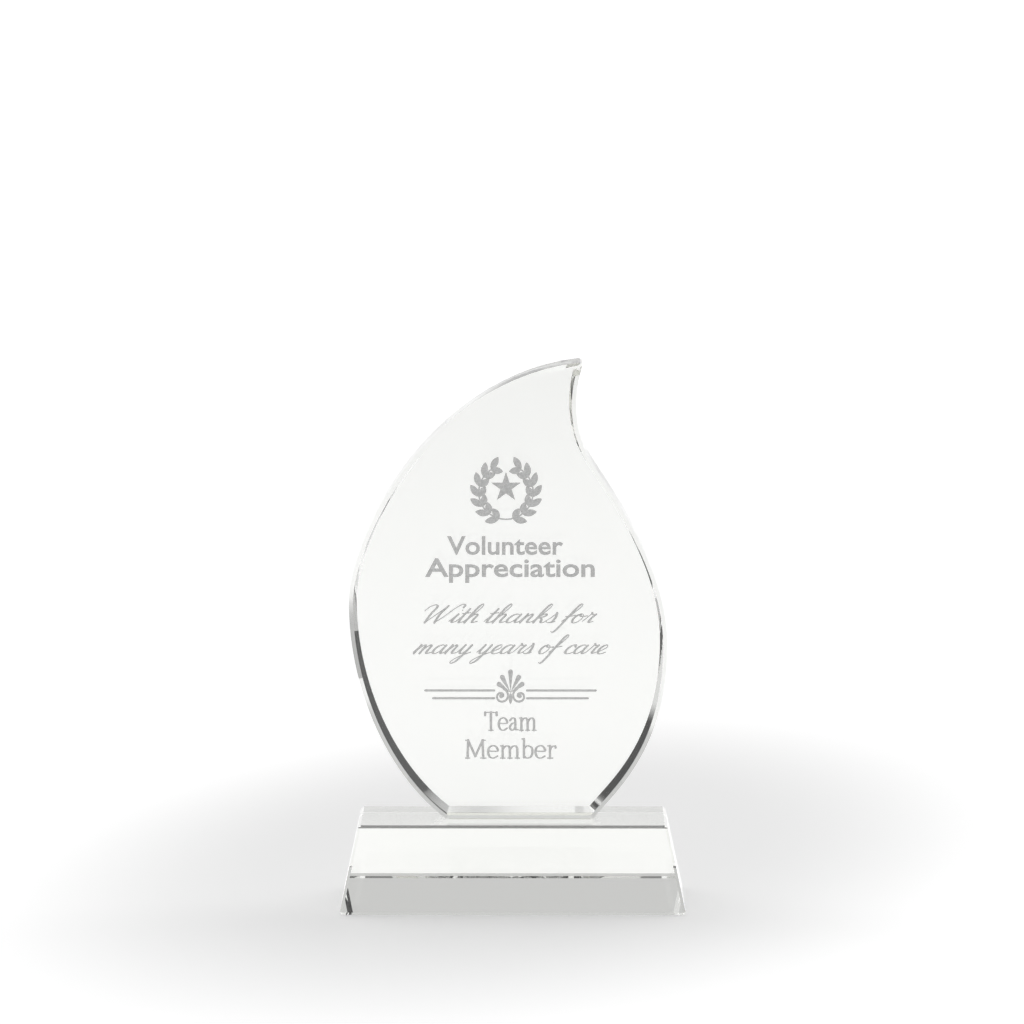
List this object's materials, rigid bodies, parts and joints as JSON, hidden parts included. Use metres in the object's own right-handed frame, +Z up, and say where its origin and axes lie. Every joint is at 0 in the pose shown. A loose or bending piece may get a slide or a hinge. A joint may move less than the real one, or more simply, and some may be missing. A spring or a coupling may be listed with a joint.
{
  "type": "crystal award",
  "caption": "Clear crystal award: a leaning flame-shaped plaque with a bevelled edge, standing on a solid block base with sloping sides.",
  "frame": {"origin": "centre of the base's underside, on the surface that the award stands on", "axes": "+Z up, -Y out of the engraved front face, +X to the right as seen from the front"},
  "size_m": [0.114, 0.0654, 0.1813],
  "materials": {
    "plaque_crystal": "polished clear optical crystal with sandblasted engraving",
    "bond_adhesive": "clear cured optical adhesive",
    "base_crystal": "polished clear optical crystal"
  },
  "bodies": {
    "root": {"flame_plaque": "plaque_crystal", "bond_film": "bond_adhesive", "base_block": "base_crystal"}
  },
  "joints": []
}
